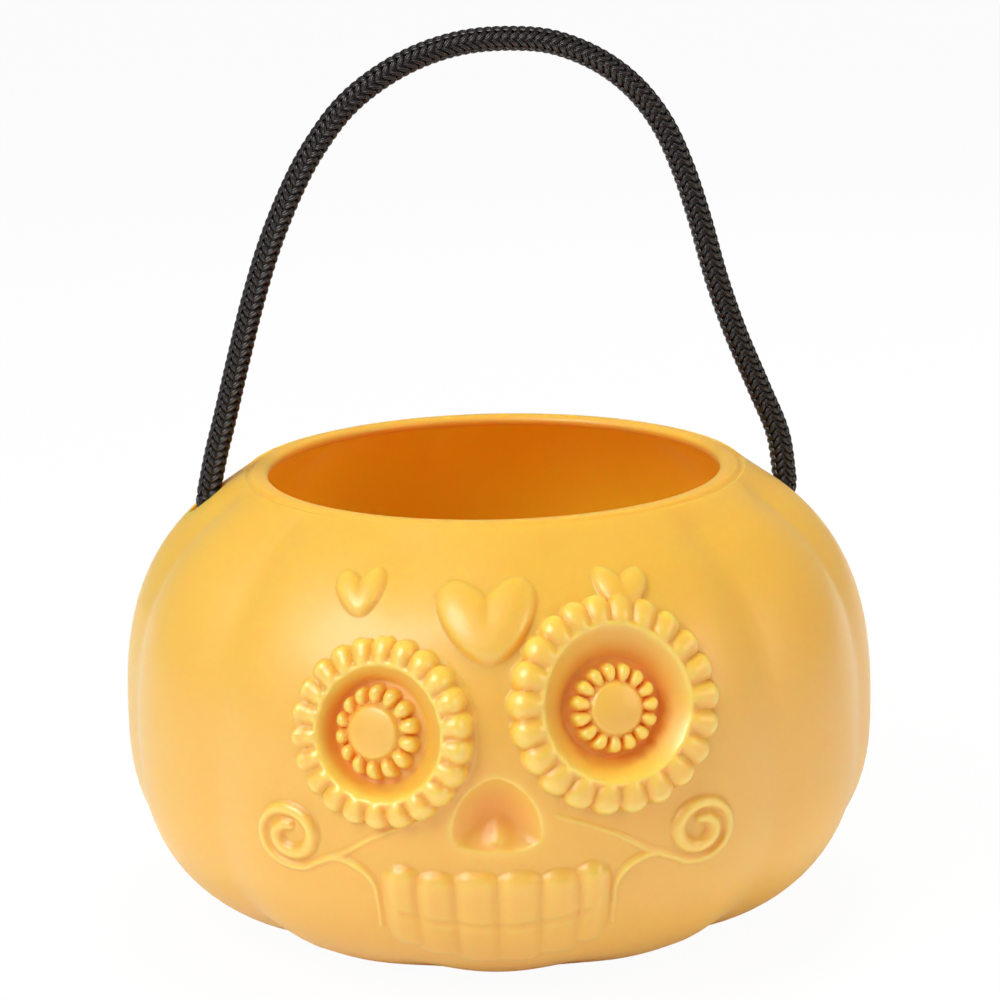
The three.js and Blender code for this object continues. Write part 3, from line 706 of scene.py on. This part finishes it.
# Half of a knot's winding: millimetres below its middle, beside it and towards the middle of the bucket.
KNOT_HALF = [
    (-19.5, -2, 1), (-15.3, -3.7, 1.7), (-10.6, -5.7, 2.6), (-5, -7.9, 3.5), (0.5, -10.1, 4.4),
    (5.3, -12, 5.2), (9.6, -13, 5.8), (12.3, -11.4, 5.4), (11.2, -8.1, 4.4), (8, -4.9, 3.2),
    (4.6, -1.8, 1.9), (1.5, 0.6, 0.6),
]
KNOT_ASIDE = 2
KNOT_TAIL = 9
for name, hole, drop, inset, inward in (
    ("rope_knot_left", hole_left, 24.5, 1, 1), ("rope_knot_right", hole_right, 27.5, 2, -1)
):
    wound = KNOT_HALF + [(-x, y, -z) for x, y, z in KNOT_HALF[::-1]]
    run = []
    for down, beside, inwards in wound:
        point = hole + rope_side * (beside + KNOT_ASIDE) + rope_way * inward * (inset - inwards)
        run.append(Vector((point.x, point.y, hole.z - drop - down)))
    run.append(run[-1] - Vector((0, 0, KNOT_TAIL)))
    knot, _ = braid(name, [hole, *run])
    knot.data.materials.append(yarn)
    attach(knot, "bucket")
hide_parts("rope_end_left")
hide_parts("rope_end_right")

# Studio: a pale floor that fades to white and keeps the shadow, a white surround, and four soft lamps. The
# top and back lamps only light the object, and aren't mirrored in its flat rim.
bpy.ops.object.select_all(action="DESELECT")
bpy.ops.mesh.primitive_plane_add(size=12)
floor = bpy.context.object
floor.name = "floor"
pale = bpy.data.materials.new("pale_floor")
pale.use_nodes = True
floor_nodes, floor_links = pale.node_tree.nodes, pale.node_tree.links
floor_nodes["Principled BSDF"].inputs["Base Color"].default_value = (0.92, 0.92, 0.92, 1)
floor_nodes["Principled BSDF"].inputs["Roughness"].default_value = 0.9
floor_glow = floor_nodes.new("ShaderNodeEmission")
floor_eye = floor_nodes.new("ShaderNodeLightPath")
floor_share = floor_nodes.new("ShaderNodeMath")
floor_share.operation = "MULTIPLY"
floor_share.inputs[1].default_value = 0.96
floor_mix = floor_nodes.new("ShaderNodeMixShader")
floor_links.new(floor_eye.outputs["Is Camera Ray"], floor_share.inputs[0])
floor_links.new(floor_share.outputs[0], floor_mix.inputs["Fac"])
floor_links.new(floor_nodes["Principled BSDF"].outputs[0], floor_mix.inputs[1])
floor_links.new(floor_glow.outputs[0], floor_mix.inputs[2])
floor_links.new(floor_mix.outputs[0], floor_nodes["Material Output"].inputs["Surface"])
floor.data.materials.append(pale)
world = bpy.data.worlds.new("studio")
scene.world = world
world.use_nodes = True
sky_nodes, sky_links = world.node_tree.nodes, world.node_tree.links
sky_nodes["Background"].inputs["Color"].default_value = (1, 1, 1, 1)
sky_nodes["Background"].inputs["Strength"].default_value = 0.18
sky_seen = sky_nodes.new("ShaderNodeBackground")
sky_seen.inputs["Color"].default_value = (1, 1, 1, 1)
sky_eye = sky_nodes.new("ShaderNodeLightPath")
sky_mix = sky_nodes.new("ShaderNodeMixShader")
sky_links.new(sky_eye.outputs["Is Camera Ray"], sky_mix.inputs["Fac"])
sky_links.new(sky_nodes["Background"].outputs[0], sky_mix.inputs[1])
sky_links.new(sky_seen.outputs[0], sky_mix.inputs[2])
sky_links.new(sky_mix.outputs[0], sky_nodes["World Output"].inputs["Surface"])
lamps_aim = Vector((0, 0, 0.08))
for name, position, size, power, colour, mirrored in (
    ("key", (-0.75, -0.75, 0.95), 0.8, 13.5, (1, 1, 1), True),
    ("top", (0, 0, 1.4), 0.4, 9, (1, 1, 1), False),
    ("fill", (1.1, -0.5, 0.5), 0.6, 4.4, (1, 0.82, 0.62), True),
    ("back", (0.4, 0.9, 0.9), 0.6, 4.5, (1, 1, 1), False),
):
    bpy.ops.object.light_add(type="AREA", location=position)
    lamp = bpy.context.object
    lamp.name = name
    lamp.data.size = size
    lamp.data.energy = power
    lamp.data.color = colour
    lamp.visible_glossy = mirrored
    lamp.rotation_euler = (lamps_aim - Vector(position)).to_track_quat("-Z", "Y").to_euler()
